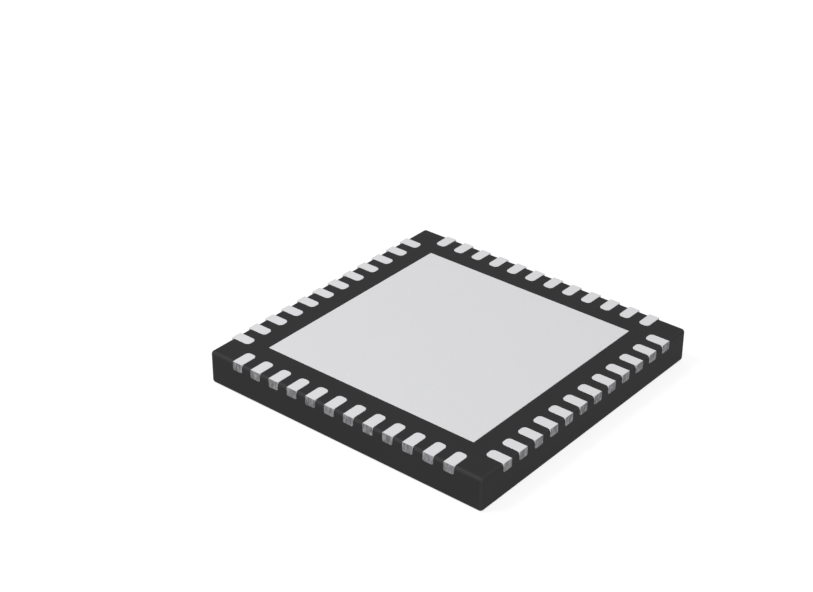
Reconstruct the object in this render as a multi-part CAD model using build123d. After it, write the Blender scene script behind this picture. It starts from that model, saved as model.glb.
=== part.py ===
from build123d import *
import math
import os

# Power management chip in a moulded quad flat no-lead package.
# It lies on its marking face, with its leads and its thermal pad looking up.
# The origin is the middle of the marking face, and +Z points out of the soldering side.
# All lengths are in millimetres and all angles in degrees.

# Moulded body
body_width = 7.08
body_height = 0.77
body_edge_radius = 0.10  # on the marking face's edges and the four upright corners
solder_edge_chamfer = 0.06  # on the soldering side's edges, where the mould has a small rounding

# Leadframe strip, from which the leads and the paddle are etched
frame_thickness = 0.20
frame_standoff = 0.01  # how far the plated leads and the pad stand proud of the moulding
half_etch_depth = 0.10  # taken off the soldering side under tongues, rim and tie bars
frame_gap = 0.17  # between the paddle's rim and the tips of the leads' tongues

# Leads
lead_pitch = 0.50
lead_width = 0.25
lead_exposed_length = 0.46  # from the outer end to the inner end
lead_corner_radius = 0.09  # on the foot's two inner corners
lead_overhang = 0.01  # past the body's side
row_end_margin = 0.75  # least distance from the body's side to a row's end lead

# Paddle with its exposed thermal pad
pad_to_lead_gap = 0.415  # between the exposed pad and the inner ends of the exposed leads
paddle_rim = 0.12
tie_bar_width = 0.15
tie_bar_gap = 0.10  # from a tie bar to the leads beside it
tie_bar_cover = 0.12  # moulding between a tie bar's end and the body's sides

# Die and what holds it
die_width = 3.60
die_thickness = 0.20
attach_thickness = 0.025
attach_margin = 0.08  # adhesive squeezed out past the die's edge

# Bond wires
wire_width = 0.022  # square section with the area of a round wire of 0.025
wire_loop_height = 0.12  # of the wire's centreline above the die
die_pad_inset = 0.08  # from the die's edge to the row of bonding pads
die_pad_end_margin = 0.25  # from the die's corner to a row's end pad
stitch_length = 0.08
stitch_setback = 0.06  # from the tip of a lead's tongue to the start of the stitch

# Levels, from the marking face up
solder_plane = body_height + frame_standoff
etched_plane = solder_plane - half_etch_depth
frame_plane = solder_plane - frame_thickness
die_back_plane = frame_plane - attach_thickness
die_face_plane = die_back_plane - die_thickness

# Distances from the middle of the chip
body_side = body_width / 2
lead_outer_end = body_side + lead_overhang
lead_inner_end = lead_outer_end - lead_exposed_length
pad_side = lead_inner_end - pad_to_lead_gap
rim_side = pad_side + paddle_rim
tongue_tip = rim_side + frame_gap

# Rows of leads
leads_per_row = int((body_width - 2 * row_end_margin) / lead_pitch) + 1
die_pad_pitch = (die_width - 2 * die_pad_end_margin) / (leads_per_row - 1)
row_names = ("right", "front", "left", "back")
row_turns = (0, -90, -180, -270)  # clockwise here, so anticlockwise from the marking side


def along_row(index, pitch):
    """Place along a row of the item with this index, from the row's back end to its front end."""
    return ((leads_per_row - 1) / 2 - index) * pitch


def layer(plan, low, high):
    """A flat plan at the origin made into a slab between two levels."""
    return extrude(Pos(0, 0, low) * plan, high - low)


def tie_bars(width, reach):
    """Half-etched bars from the middle towards the four corners of the body."""
    bar = Rectangle(2 * reach, width)
    return layer(Rot(0, 0, 45) * bar + Rot(0, 0, -45) * bar, frame_plane, etched_plane)


def die_paddle():
    """Thermal pad, its half-etched rim and the tie bars that carried it in the strip."""
    pad = layer(Rectangle(2 * pad_side, 2 * pad_side), frame_plane, solder_plane)
    rim = layer(Rectangle(2 * rim_side, 2 * rim_side), frame_plane, etched_plane)
    reach = (body_side - tie_bar_cover) * math.sqrt(2) - tie_bar_width / 2
    return pad + rim + tie_bars(tie_bar_width, reach)


def lead():
    """One lead of the right-hand row, on the X axis: an exposed foot and a half-etched tongue."""
    foot_middle = lead_outer_end - lead_exposed_length / 2
    foot = Pos(foot_middle, 0) * Rectangle(lead_exposed_length, lead_width)
    foot = fillet(foot.vertices().group_by(Axis.X)[0], lead_corner_radius)
    tongue_length = lead_outer_end - tongue_tip
    tongue = Pos(tongue_tip + tongue_length / 2, 0) * Rectangle(tongue_length, lead_width)
    return layer(foot, etched_plane, solder_plane) + layer(tongue, frame_plane, etched_plane)


def bond_wire(index):
    """One wire of the right-hand row: up from the die, out in a low slope, and flat along the lead."""
    start = Vector(die_width / 2 - die_pad_inset, along_row(index, die_pad_pitch), die_face_plane)
    stitch_middle = Vector(
        tongue_tip + stitch_setback + stitch_length / 2,
        along_row(index, lead_pitch),
        frame_plane - wire_width / 2,
    )
    outward = Vector(stitch_middle.X - start.X, stitch_middle.Y - start.Y, 0).normalized()
    route = Polyline(
        start,
        start - Vector(0, 0, wire_loop_height),
        stitch_middle - outward * stitch_length / 2,
        stitch_middle + outward * stitch_length / 2,
    )
    section = Plane(start, x_dir=outward, z_dir=(0, 0, -1)) * Rectangle(wire_width, wire_width)
    return sweep(section, path=route, transition=Transition.RIGHT)


def mold_body(held):
    """The moulding, with a pocket for each piece that it was moulded round."""
    block = layer(Rectangle(body_width, body_width), 0, body_height)
    upright = block.edges().filter_by(Axis.Z)
    marking_face = block.edges().group_by(Axis.Z)[0]
    block = fillet(upright + marking_face, body_edge_radius)
    soldering_side = block.edges().group_by(Axis.Z)[-1]
    return chamfer(soldering_side, solder_edge_chamfer) - held


# Paddle, adhesive and die
paddle = die_paddle()
attach_width = die_width + 2 * attach_margin
attach = layer(Rectangle(attach_width, attach_width), die_back_plane, frame_plane)
die = layer(Rectangle(die_width, die_width), die_face_plane, die_back_plane)

# Leads, numbered row by row; a row's end leads are cut back beside the tie bars
corner_clearance = tie_bars(tie_bar_width + 2 * tie_bar_gap, body_side * math.sqrt(2))
leads = []
for turn in row_turns:
    for index in range(leads_per_row):
        placed = Rot(0, 0, turn) * Pos(0, along_row(index, lead_pitch), 0) * lead()
        if index in (0, leads_per_row - 1):
            placed -= corner_clearance
        leads.append(placed)

# Bond wires, one group for each row
wire_rows = []
for turn in row_turns:
    wires = [Rot(0, 0, turn) * bond_wire(index) for index in range(leads_per_row)]
    wire_rows.append(wires)

# Body, moulded round everything else
held = [paddle, attach, die] + leads
for wires in wire_rows:
    held += wires
body = mold_body(held)

# One file for each piece
os.makedirs("parts", exist_ok=True)
export_step(body, "parts/mold_body.step")
export_step(paddle, "parts/die_paddle.step")
export_step(attach, "parts/die_attach.step")
export_step(die, "parts/silicon_die.step")
for number, placed in enumerate(leads, start=1):
    export_step(placed, f"parts/lead_{number:02d}.step")
for name, wires in zip(row_names, wire_rows):
    export_step(Compound(children=wires), f"parts/bond_wires_{name}.step")
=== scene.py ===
# %% [markdown]
# # A power management chip, dressed for a studio photograph
#
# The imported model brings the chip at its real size: a moulded black body seven
# millimetres wide, forty-eight leads, a square thermal pad, and the die and its bond
# wires inside. This lesson gives each of them its finish, lays the chip on a white
# table with its leads up, and points a camera at it.

# %% Load the frame
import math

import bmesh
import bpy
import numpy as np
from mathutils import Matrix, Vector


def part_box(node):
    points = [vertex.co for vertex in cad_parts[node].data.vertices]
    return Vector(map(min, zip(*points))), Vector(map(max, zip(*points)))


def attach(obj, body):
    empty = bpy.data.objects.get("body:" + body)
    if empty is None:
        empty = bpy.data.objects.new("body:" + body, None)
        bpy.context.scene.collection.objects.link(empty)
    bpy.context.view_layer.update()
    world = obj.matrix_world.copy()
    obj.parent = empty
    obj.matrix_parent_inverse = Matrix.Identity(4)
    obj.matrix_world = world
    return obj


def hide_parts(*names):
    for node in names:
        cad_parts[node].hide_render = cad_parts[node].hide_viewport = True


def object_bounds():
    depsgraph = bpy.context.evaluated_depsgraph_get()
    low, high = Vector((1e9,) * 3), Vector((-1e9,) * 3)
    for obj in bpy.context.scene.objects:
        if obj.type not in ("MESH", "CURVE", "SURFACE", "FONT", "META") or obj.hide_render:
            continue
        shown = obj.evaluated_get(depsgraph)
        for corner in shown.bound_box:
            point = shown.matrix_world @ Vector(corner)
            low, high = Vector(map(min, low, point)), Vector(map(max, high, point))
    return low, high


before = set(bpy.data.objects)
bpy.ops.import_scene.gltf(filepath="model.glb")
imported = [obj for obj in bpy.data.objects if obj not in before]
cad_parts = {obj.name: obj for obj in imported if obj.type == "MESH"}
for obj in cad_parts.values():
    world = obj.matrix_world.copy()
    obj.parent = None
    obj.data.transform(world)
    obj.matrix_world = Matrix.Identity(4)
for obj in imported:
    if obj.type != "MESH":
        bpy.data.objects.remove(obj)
cad_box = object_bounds()

# %% [markdown]
# ## Units and small helpers
#
# Blender counts in metres, and a chip is drawn in millimetres, so one constant turns
# the second into the first. Colours are easiest to read as the hex values of a paint
# program, but light is added up in linear values, so one function converts them.

MM = 0.001


def linear(hex_colour):
    """The linear colour of an sRGB hex value such as '#DADADC', with full alpha.

    Each channel c is c / 12.92 below 0.04045, and ((c + 0.055) / 1.055) to the power
    2.4 above it.
    """
    channels = np.array([int(hex_colour[i:i + 2], 16) for i in (1, 3, 5)]) / 255
    curved = np.where(channels <= 0.04045, channels / 12.92, ((channels + 0.055) / 1.055) ** 2.4)
    return (*(float(c) for c in curved), 1.0)


def node(tree, kind, values=None, links=None, **settings):
    """Add a node of this kind, set its fields and its inputs' values, and link its inputs."""
    made = tree.nodes.new(kind)
    for name, value in settings.items():
        setattr(made, name, value)
    for name, value in (values or {}).items():
        made.inputs[name].default_value = value
    for name, socket in (links or {}).items():
        tree.links.new(socket, made.inputs[name])
    return made


cad_size = [round(v / MM, 2) for v in cad_box[1] - cad_box[0]]
print("model loaded:", len(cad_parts), "nodes,", cad_size, "mm")

# %% [markdown]
# ## The camera
#
# A product picture of a chip is taken from well above, with a long lens, so that the
# far side of the square looks almost as wide as the near side. The camera here stands
# round to the right by 40 degrees and looks down at 30 degrees. It aims at a point on
# the table behind the chip, which leaves the chip low and right in the frame. Turning the
# camera further would change the shape of the square, so a small shift of the lens does
# the rest of the framing.

# %% Place the camera
AZIMUTH = math.radians(39.96)
ELEVATION = math.radians(29.97)
CAMERA_DISTANCE = 40.231 * MM
AIM = np.array([-2.992, 1.586, 0.0]) * MM
LENS = 78.69  # focal length in mm, for Blender's 36 mm sensor
SIDE_SHIFT = 0.0210  # of the picture's width
UPWARD_SHIFT = 0.00055
NEAREST_SEEN = 1 * MM
FARTHEST_SEEN = 1000 * MM

back = np.array([
    math.sin(AZIMUTH) * math.cos(ELEVATION),
    -math.cos(AZIMUTH) * math.cos(ELEVATION),
    math.sin(ELEVATION),
])
camera_data = bpy.data.cameras.new("camera")
camera_data.lens = LENS
camera_data.shift_x = SIDE_SHIFT
camera_data.shift_y = UPWARD_SHIFT
camera_data.clip_start = NEAREST_SEEN
camera_data.clip_end = FARTHEST_SEEN
camera = bpy.data.objects.new("camera", camera_data)
camera.location = AIM + back * CAMERA_DISTANCE
camera.rotation_euler = (math.pi / 2 - ELEVATION, 0, AZIMUTH)
bpy.context.collection.objects.link(camera)
bpy.context.scene.camera = camera
print("camera at", [round(v / MM, 2) for v in camera.location], "mm")

# %% [markdown]
# ## The moulded body
#
# The body is epoxy full of fine silica, pressed round the leadframe in a steel mould.
# The mould leaves every edge and corner with the same small radius. A cube with a Bevel
# modifier would do, but its rounding is only as good as its few segments. Here the block
# is worked out as one surface instead, so that each point lies exactly on its quarter
# circle or its eighth of a ball.

# %% A rounded block as a surface
def rounded_block(low, high, radius, steps):
    """Points and faces of a closed block whose edges are all rounded with one radius.

    A box smaller by the radius on every side has eight corners. Each point of the surface
    is one of those corners plus the radius times a direction. The direction climbs from
    straight down to straight up, and at each height it goes once round. The lower half of
    the climb takes the four lower corners, and each quarter of the turn takes one of them.
    """
    middle, inner_half = (high + low) / 2, (high - low) / 2 - radius
    quarter = np.linspace(0, math.pi / 2, steps + 1)
    climb = np.concatenate([quarter - math.pi / 2, quarter])[:, None]
    level = np.repeat([-1, 1], steps + 1)[:, None]
    turn = np.concatenate([quarter + corner * math.pi / 2 for corner in range(4)])
    side = np.repeat([[1, 1], [-1, 1], [-1, -1], [1, -1]], steps + 1, axis=0)
    points = np.stack([
        middle[0] + side[:, 0] * inner_half[0] + radius * np.cos(climb) * np.cos(turn),
        middle[1] + side[:, 1] * inner_half[1] + radius * np.cos(climb) * np.sin(turn),
        middle[2] + level * inner_half[2] + radius * np.sin(climb) + 0 * turn,
    ], axis=-1)
    rings, around = points.shape[:2]
    index = np.arange(rings * around).reshape(rings, around)
    beside = np.roll(index, -1, axis=1)
    walls = np.stack([index[:-1], beside[:-1], beside[1:], index[1:]], axis=-1).reshape(-1, 4)
    return points.reshape(-1, 3), walls.tolist() + [index[0, ::-1].tolist(), index[-1].tolist()]

# %% [markdown]
# ## Shading
#
# A moulded or plated face is flat right up to its rounded edge. Plain smooth shading
# averages it with the narrow faces of the rounding, and the light seems to bend there.
# The Weighted Normal modifier mends this on larger objects. It compares areas with a
# fixed small number, though, and on a part as tiny as this one it leaves faces tilted. So
# the weights are worked out here, from areas compared with each other.

# %% Shading that keeps flat faces flat
AREA_POWER = 4


def shade_flats_flat(mesh):
    """Shade smoothly, but let the largest face at each point say where the point faces.

    The normal of a point is the sum of the normals of the faces that touch it, each
    weighed by the fourth power of its area over the largest area there, made one long.
    """
    mesh.shade_smooth()
    area = np.empty(len(mesh.polygons))
    normal = np.empty(len(mesh.polygons) * 3)
    sides = np.empty(len(mesh.polygons), dtype=int)
    point = np.empty(len(mesh.loops), dtype=int)
    mesh.polygons.foreach_get("area", area)
    mesh.polygons.foreach_get("normal", normal)
    mesh.polygons.foreach_get("loop_total", sides)
    mesh.loops.foreach_get("vertex_index", point)
    face = np.repeat(np.arange(len(sides)), sides)
    largest = np.zeros(len(mesh.vertices))
    np.maximum.at(largest, point, area[face])
    weight = (area[face] / largest[point]) ** AREA_POWER
    total = np.zeros((len(mesh.vertices), 3))
    np.add.at(total, point, normal.reshape(-1, 3)[face] * weight[:, None])
    mesh.normals_split_custom_set_from_vertices(total / np.linalg.norm(total, axis=1, keepdims=True))

# %% [markdown]
# ## From arrays to a piece
#
# The formula ends in whole arrays of points and faces, which from_pydata takes over as
# they are. Where the roundings run out into the flat top and bottom, some points fall
# together. They are merged first, because a face with two corners in one place can't be
# shaded well.

# %% Turn points and faces into a piece
MERGE_DISTANCE = 0.00001 * MM


def add_piece(name, points, faces):
    """Make a mesh object at the origin from points and faces, with doubled points merged."""
    mesh = bpy.data.meshes.new(name)
    mesh.from_pydata(points, [], faces)
    tidy = bmesh.new()
    tidy.from_mesh(mesh)
    bmesh.ops.remove_doubles(tidy, verts=tidy.verts, dist=MERGE_DISTANCE)
    tidy.to_mesh(mesh)
    tidy.free()
    shade_flats_flat(mesh)
    piece = bpy.data.objects.new(name, mesh)
    bpy.context.collection.objects.link(piece)
    return piece


# %% The body
BODY_EDGE_RADIUS = 0.08 * MM
QUARTER_STEPS = 12

body_low, body_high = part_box("mold_body")
block_points, block_faces = rounded_block(
    np.array(body_low), np.array(body_high), BODY_EDGE_RADIUS, QUARTER_STEPS,
)
body = add_piece("mold_body_surface", block_points, block_faces)
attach(body, "root")
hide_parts("mold_body")
print("body surface:", len(body.data.polygons), "faces")

# %% [markdown]
# ## Leads and thermal pad
#
# The leads and the pad are etched from one strip of copper and then plated. Etching and
# plating leave no sharp edge: each one is rounded by a few thousandths of a millimetre,
# and that keeps the edges from looking cut out with a knife. The frame already has the
# right shapes. To model them again would only risk a difference, so each piece starts as
# a copy of its CAD node, whose loose triangles are merged and joined into flat faces. The
# bevel tool of bmesh then rounds the two long back edges of a lead, which the acid eats
# into from the side, and after that every sharp edge.

# %% Find edges to round
SAME_PLACE = 0.001 * MM
LONG_EDGE = 0.3 * MM
SHARP_ANGLE = math.radians(30)
FLAT_ANGLE = math.radians(0.5)


def long_low_edges(shape):
    """The long edges of the lowest face that run along x or along y."""
    lowest = min(corner.co.z for corner in shape.verts)
    found = []
    for edge in shape.edges:
        highest = max(corner.co.z for corner in edge.verts)
        step = edge.verts[0].co - edge.verts[1].co
        straight = min(abs(step.x), abs(step.y)) < SAME_PLACE
        if highest < lowest + SAME_PLACE and step.length > LONG_EDGE and straight:
            found.append(edge)
    return found


def sharp_edges(shape):
    """The edges at which two faces meet at more than the sharp angle."""
    return [edge for edge in shape.edges if edge.calc_face_angle(0) > SHARP_ANGLE]


def round_edges(shape, edges, width, segments):
    """Replace these edges with a rounding of this width."""
    bmesh.ops.bevel(shape, geom=edges, offset=width, segments=segments, profile=0.5, affect="EDGES")


# %% Round the edges of the etched pieces
PLATED_EDGE = 0.006 * MM
PLATED_STEPS = 3
ETCHED_BACK_EDGE = 0.035 * MM
ETCHED_STEPS = 4


def rounded_copy(node_name, back_edge):
    """A copy of a CAD node with rounded edges, standing for the node."""
    shape = bmesh.new()
    shape.from_mesh(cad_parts[node_name].data)
    bmesh.ops.remove_doubles(shape, verts=shape.verts, dist=MERGE_DISTANCE)
    bmesh.ops.dissolve_limit(shape, angle_limit=FLAT_ANGLE, verts=shape.verts, edges=shape.edges)
    if back_edge:
        round_edges(shape, long_low_edges(shape), back_edge, ETCHED_STEPS)
    round_edges(shape, sharp_edges(shape), PLATED_EDGE, PLATED_STEPS)
    mesh = bpy.data.meshes.new(node_name + "_plated")
    shape.to_mesh(mesh)
    shape.free()
    shade_flats_flat(mesh)
    piece = bpy.data.objects.new(mesh.name, mesh)
    bpy.context.collection.objects.link(piece)
    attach(piece, "root")
    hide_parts(node_name)
    return piece


lead_names = sorted(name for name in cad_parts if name.startswith("lead_"))
leads = [rounded_copy(name, ETCHED_BACK_EDGE) for name in lead_names]
paddle = rounded_copy("die_paddle", 0)
print("rounded pieces:", len(leads) + 1, "with", len(leads[0].data.polygons), "faces in a lead")

# %% [markdown]
# ## Mould compound
#
# Epoxy moulding compound is black from a little carbon and matt from its silica filler
# and from the spark-eroded steel of the mould. The eye sees a very dark, even grey with
# hardly any sheen. Noise that is counted in the piece's own millimetres gives the grain
# its size on every face alike, which a picture wrapped round the block would not. The
# rounded upper edges and the uprights get a lighter colour, a painted highlight where
# the roundings would catch the light. The body's box already says where they are, so two
# distances find them.

# %% Materials in millimetres
def new_material(name):
    """An empty node material, its tree, and its Object coordinates in millimetres."""
    material = bpy.data.materials.new(name)
    material.use_nodes = True
    tree = material.node_tree
    tree.nodes.clear()
    coordinates = node(tree, "ShaderNodeTexCoord")
    millimetres = node(
        tree, "ShaderNodeMapping",
        values={"Scale": (1 / MM, 1 / MM, 1 / MM)},
        links={"Vector": coordinates.outputs["Object"]},
    )
    return material, tree, millimetres.outputs["Vector"]


def finish_with(tree, shader):
    """Link the last shader to the material's output."""
    node(tree, "ShaderNodeOutputMaterial", links={"Surface": shader.outputs[0]})


def dress(piece, material):
    """Give a piece or a CAD node this one material."""
    piece.data.materials.clear()
    piece.data.materials.append(material)


# %% Distance from the middle of the chip
def off_centre(tree, place, which):
    """A socket for the MAXIMUM or the MINIMUM of |x| and |y|, in mm."""
    apart = node(tree, "ShaderNodeSeparateXYZ", links={"Vector": place})
    across = node(tree, "ShaderNodeMath", operation="ABSOLUTE", links={0: apart.outputs["X"]})
    along = node(tree, "ShaderNodeMath", operation="ABSOLUTE", links={0: apart.outputs["Y"]})
    chosen = node(
        tree, "ShaderNodeMath", operation=which,
        links={0: across.outputs[0], 1: along.outputs[0]},
    )
    return chosen.outputs[0]


# %% Where the body's edges get a painted highlight
HIGHLIGHT_REACH = 0.04  # mm from the start of a rounding to where the painted highlight is at its full


def painted_highlight_mask(tree, place):
    """The mask of the painted highlight: 1 on the rounded upper edges and the uprights, 0 on flat
    faces.
    """
    flat_side = (body_high[0] - BODY_EDGE_RADIUS) / MM
    flat_top = (body_high[2] - BODY_EDGE_RADIUS) / MM
    larger = off_centre(tree, place, "MAXIMUM")
    smaller = off_centre(tree, place, "MINIMUM")
    height = node(tree, "ShaderNodeSeparateXYZ", links={"Vector": place}).outputs["Z"]
    past_side, past_top, upright = (
        node(
            tree, "ShaderNodeMapRange",
            values={"From Min": start, "From Max": start + HIGHLIGHT_REACH},
            links={"Value": distance},
        ).outputs["Result"]
        for distance, start in ((larger, flat_side), (height, flat_top), (smaller, flat_side))
    )
    upper = node(tree, "ShaderNodeMath", operation="MULTIPLY", links={0: past_side, 1: past_top})
    either = node(tree, "ShaderNodeMath", operation="MAXIMUM", links={0: upper.outputs[0], 1: upright})
    return either.outputs[0]


# %% Mould compound material
MOULD_GRAIN = 0.04  # mm. The real filler is about 0.02, and is drawn twice as coarse to show.
MOULD_CLOUD = 1.4  # mm, the slow drift of the grey over a face
MOULD_RELIEF = 0.0015 * MM


def mould_compound():
    """Black silica-filled epoxy, pressed in an eroded mould, which makes it dark and matt."""
    material, tree, place = new_material("silica_filled_epoxy")
    grain = node(
        tree, "ShaderNodeTexNoise",
        values={"Scale": 1 / MOULD_GRAIN, "Detail": 3.0, "Roughness": 0.6},
        links={"Vector": place},
    )
    cloud = node(
        tree, "ShaderNodeTexNoise",
        values={"Scale": 1 / MOULD_CLOUD, "Detail": 2.0},
        links={"Vector": place},
    )
    colour = node(
        tree, "ShaderNodeMix", data_type="RGBA",
        values={6: linear("#2C2C2D"), 7: linear("#313132")},
        links={0: cloud.outputs["Fac"]},
    )
    # A lighter grey on the rounded edges and uprights: a painted highlight.
    edge_highlight = node(
        tree, "ShaderNodeMix", data_type="RGBA",
        values={7: linear("#383839")},
        links={0: painted_highlight_mask(tree, place), 6: colour.outputs[2]},
    )
    roughness = node(
        tree, "ShaderNodeMapRange",
        values={"To Min": 0.42, "To Max": 0.50},
        links={"Value": grain.outputs["Fac"]},
    )
    relief = node(
        tree, "ShaderNodeBump",
        values={"Strength": 0.5, "Distance": MOULD_RELIEF},
        links={"Height": grain.outputs["Fac"]},
    )
    # An eroded surface scatters nearly all that it reflects, so its mirror part is kept low.
    shader = node(
        tree, "ShaderNodeBsdfPrincipled",
        values={"IOR": 1.5, "Specular IOR Level": 0.04},
        links={
            "Base Color": edge_highlight.outputs[2],
            "Roughness": roughness.outputs["Result"],
            "Normal": relief.outputs["Normal"],
        },
    )
    finish_with(tree, shader)
    return material


dress(body, mould_compound())
print("mould compound on", body.name)

# %% [markdown]
# ## Matt tin plating
#
# The feet and the pad are plated with about 0.01 mm of matt tin, which is a pale, even
# grey metal with hardly any mirror in it. Where a lead was cut free of the strip, the
# cut face shows bare metal with upright streaks from the blade. Its grey is darker than
# bare metal is, as painted shade for an upright face under light from above, and this
# painted shade reaches over the outer rim of the rounding to dim its glint. The cut faces
# could have a material of their own. They all lie at one distance from the middle of the
# chip, though, so one material does for both and shows the bare, shaded metal from there on.

# %% Tin plating material
TIN_CRYSTAL = 0.05  # mm. Real crystals are about 0.005, and are drawn ten times as coarse to show.
TIN_RELIEF = 0.001 * MM
CUT_SHADE_STARTS = 0.007  # mm inside the outer end, where the bare metal and its painted shade begin
CUT_SHADE_IS_FULL = 0.004
STREAK_WIDTH = 0.035  # mm. A blade's marks are a few thousandths wide, and are drawn coarser to show.
STREAK_LENGTH = 0.12


def tin_plating():
    """Matt tin, plated over etched copper, with bare metal and painted shade on each lead's cut face.
    """
    material, tree, place = new_material("matt_tin_plating")
    crystal = node(
        tree, "ShaderNodeTexNoise",
        values={"Scale": 1 / TIN_CRYSTAL, "Detail": 4.0, "Roughness": 0.65},
        links={"Vector": place},
    )
    plated = node(
        tree, "ShaderNodeMix", data_type="RGBA",
        values={6: linear("#D7D7D9"), 7: linear("#DFDFE1")},
        links={0: crystal.outputs["Fac"]},
    )
    lead_end = cad_box[1][0] / MM
    cut_face_shade = node(
        tree, "ShaderNodeMapRange",
        values={"From Min": lead_end - CUT_SHADE_STARTS, "From Max": lead_end - CUT_SHADE_IS_FULL},
        links={"Value": off_centre(tree, place, "MAXIMUM")},
    )
    upright_streaks = node(
        tree, "ShaderNodeMapping",
        values={"Scale": (1 / STREAK_WIDTH, 1 / STREAK_WIDTH, 1 / STREAK_LENGTH)},
        links={"Vector": place},
    )
    streak = node(
        tree, "ShaderNodeTexNoise",
        values={"Scale": 1.0, "Detail": 2.0},
        links={"Vector": upright_streaks.outputs["Vector"]},
    )
    torn = node(
        tree, "ShaderNodeMapRange",
        values={"From Min": 0.30, "From Max": 0.70},
        links={"Value": streak.outputs["Fac"]},
    )
    # Bare metal with blade streaks, its grey darkened as painted shade.
    bare_metal_shaded = node(
        tree, "ShaderNodeMix", data_type="RGBA",
        values={6: linear("#68686A"), 7: linear("#A0A0A2")},
        links={0: torn.outputs["Result"]},
    )
    colour = node(
        tree, "ShaderNodeMix", data_type="RGBA",
        links={0: cut_face_shade.outputs["Result"], 6: plated.outputs[2], 7: bare_metal_shaded.outputs[2]},
    )
    roughness = node(
        tree, "ShaderNodeMapRange",
        values={"To Min": 0.76, "To Max": 0.86},
        links={"Value": crystal.outputs["Fac"]},
    )
    relief = node(
        tree, "ShaderNodeBump",
        values={"Strength": 0.3, "Distance": TIN_RELIEF},
        links={"Height": crystal.outputs["Fac"]},
    )
    shader = node(
        tree, "ShaderNodeBsdfPrincipled",
        values={"Metallic": 1.0},
        links={
            "Base Color": colour.outputs[2],
            "Roughness": roughness.outputs["Result"],
            "Normal": relief.outputs["Normal"],
        },
    )
    finish_with(tree, shader)
    return material


tin = tin_plating()
for piece in leads + [paddle]:
    dress(piece, tin)
print("tin plating on", len(leads) + 1, "pieces")

# %% [markdown]
# ## What the moulding hides
#
# The die, its adhesive and the bond wires can't be seen from outside, but they are
# pieces of the model, so each gets the finish that a cut-open chip would show. Their CAD
# shapes stay as they are. Plain materials that differ only in colour, gloss and grain
# need one recipe, not three.

# %% Finishes of the inner pieces
def plain_finish(name, darker, lighter, metallic, roughness, grain_size):
    """A material that wanders between two close colours over a grain of this size in mm."""
    material, tree, place = new_material(name)
    grain = node(
        tree, "ShaderNodeTexNoise",
        values={"Scale": 1 / grain_size, "Detail": 3.0},
        links={"Vector": place},
    )
    colour = node(
        tree, "ShaderNodeMix", data_type="RGBA",
        values={6: linear(darker), 7: linear(lighter)},
        links={0: grain.outputs["Fac"]},
    )
    shader = node(
        tree, "ShaderNodeBsdfPrincipled",
        values={"Metallic": metallic, "Roughness": roughness},
        links={"Base Color": colour.outputs[2]},
    )
    finish_with(tree, shader)
    return material


# Silicon, sliced, ground and polished: dark and nearly a mirror.
silicon = plain_finish(
    "polished_silicon", "#4C4C55", "#5A5A66", metallic=1.0, roughness=0.15, grain_size=0.3,
)
# Epoxy glue with silver flakes, cured in an oven: pale grey with a dull glitter.
epoxy = plain_finish(
    "silver_filled_epoxy", "#9C9C98", "#B4B4B0", metallic=0.3, roughness=0.5, grain_size=0.05,
)
# Gold wire, drawn through dies: warm and bright.
gold = plain_finish(
    "gold_wire", "#D6A84A", "#E6BC62", metallic=1.0, roughness=0.2, grain_size=0.05,
)
dress(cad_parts["silicon_die"], silicon)
dress(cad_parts["die_attach"], epoxy)
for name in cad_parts:
    if name.startswith("bond_wires_"):
        dress(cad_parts[name], gold)
print("inner finishes:", silicon.name, epoxy.name, gold.name)

# %% [markdown]
# ## The white table
#
# The chip lies on a plain white table. A floor that is lit until it looks white would
# flood the black body with light. So the floor itself is a matt light grey that takes the
# shadow, and a glow tops it up to white for the rays that see it: from the camera, off a
# mirror or through glass. It lies two thousandths of a millimetre under the chip, because
# two faces in one plane would flicker through each other.

# %% Floor
FLOOR_HALF = 300 * MM
FLOOR_LEVEL = -0.002 * MM

floor_mesh = bpy.data.meshes.new("floor")
floor_corners = np.array([(-1, -1), (1, -1), (1, 1), (-1, 1)]) * FLOOR_HALF
floor_mesh.from_pydata([(x, y, FLOOR_LEVEL) for x, y in floor_corners.tolist()], [], [(0, 1, 2, 3)])
floor = bpy.data.objects.new("floor", floor_mesh)
bpy.context.collection.objects.link(floor)
print("floor:", 2 * FLOOR_HALF, "m wide")


# %% White where it is seen
TABLE_GLOW = 0.80


def seen_directly(tree):
    """A socket that is 1 for camera, glossy and transmission rays, and 0 for all others."""
    path = node(tree, "ShaderNodeLightPath")
    shiny = node(
        tree, "ShaderNodeMath", operation="MAXIMUM",
        links={0: path.outputs["Is Glossy Ray"], 1: path.outputs["Is Transmission Ray"]},
    )
    seen = node(
        tree, "ShaderNodeMath", operation="MAXIMUM",
        links={0: path.outputs["Is Camera Ray"], 1: shiny.outputs[0]},
    )
    return seen.outputs[0]


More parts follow.
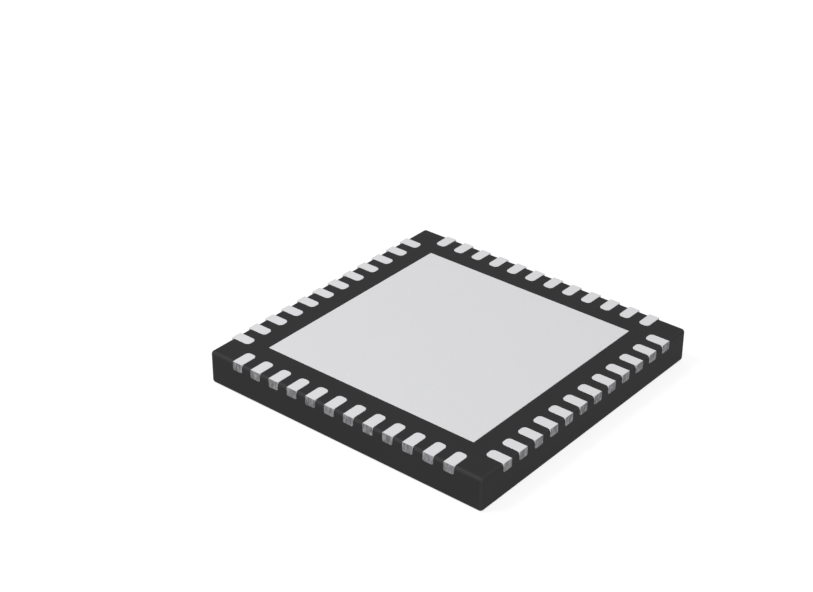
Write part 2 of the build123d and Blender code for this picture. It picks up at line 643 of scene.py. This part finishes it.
def table_white():
    """Painted board: matt light grey that takes the shadow, topped up to white where it is seen."""
    material = bpy.data.materials.new("white_table")
    material.use_nodes = True
    tree = material.node_tree
    tree.nodes.clear()
    matt = node(tree, "ShaderNodeBsdfDiffuse", values={"Color": linear("#989898")})
    glow_strength = node(
        tree, "ShaderNodeMath", operation="MULTIPLY",
        values={1: TABLE_GLOW},
        links={0: seen_directly(tree)},
    )
    glow = node(tree, "ShaderNodeEmission", links={"Strength": glow_strength.outputs[0]})
    both = node(tree, "ShaderNodeAddShader", links={0: matt.outputs[0], 1: glow.outputs[0]})
    finish_with(tree, both)
    return material


dress(floor, table_white())
print("table finish on", floor.name)

# %% [markdown]
# ## Light
#
# Small shiny products are shot in a white tent with large soft lamps. The world is the
# tent: an even light from all around, which looks white wherever it is seen. One lamp
# alone would leave a near side in the dark, so there are two. A high softbox on the left
# lights the pad and the feet. A low one faces the near corner and lights both near sides
# alike, so that the cut faces of the leads show. Both stand many chip widths away, and
# that keeps the pad equally bright from side to side.

# %% Surroundings
AMBIENT = 0.64

world = bpy.data.worlds.new("surroundings")
bpy.context.scene.world = world
world.use_nodes = True
world_tree = world.node_tree
world_tree.nodes.clear()
sky_strength = node(
    world_tree, "ShaderNodeMapRange",
    values={"To Min": AMBIENT, "To Max": 1.0},
    links={"Value": seen_directly(world_tree)},
)
sky = node(world_tree, "ShaderNodeBackground", links={"Strength": sky_strength.outputs["Result"]})
node(world_tree, "ShaderNodeOutputWorld", links={"Surface": sky.outputs[0]})
print("surroundings:", AMBIENT, "as light, 1.0 where seen")


# %% Lamps
def softbox(name, place, size, power):
    """A square area lamp that faces the chip, with place and size in mm and power in watts."""
    data = bpy.data.lights.new(name, "AREA")
    data.size = size * MM
    data.energy = power
    lamp = bpy.data.objects.new(name, data)
    lamp.location = np.array(place) * MM
    away = lamp.location.normalized()
    lamp.rotation_euler = away.to_track_quat("Z", "Y").to_euler()
    bpy.context.collection.objects.link(lamp)


softbox("left_softbox", place=(-42, -36, 76), size=34, power=0.0408)
softbox("corner_softbox", place=(49, -60, 20), size=36, power=0.027)
bpy.context.scene.view_settings.view_transform = "Standard"
print("lamps:", len(bpy.data.lights))
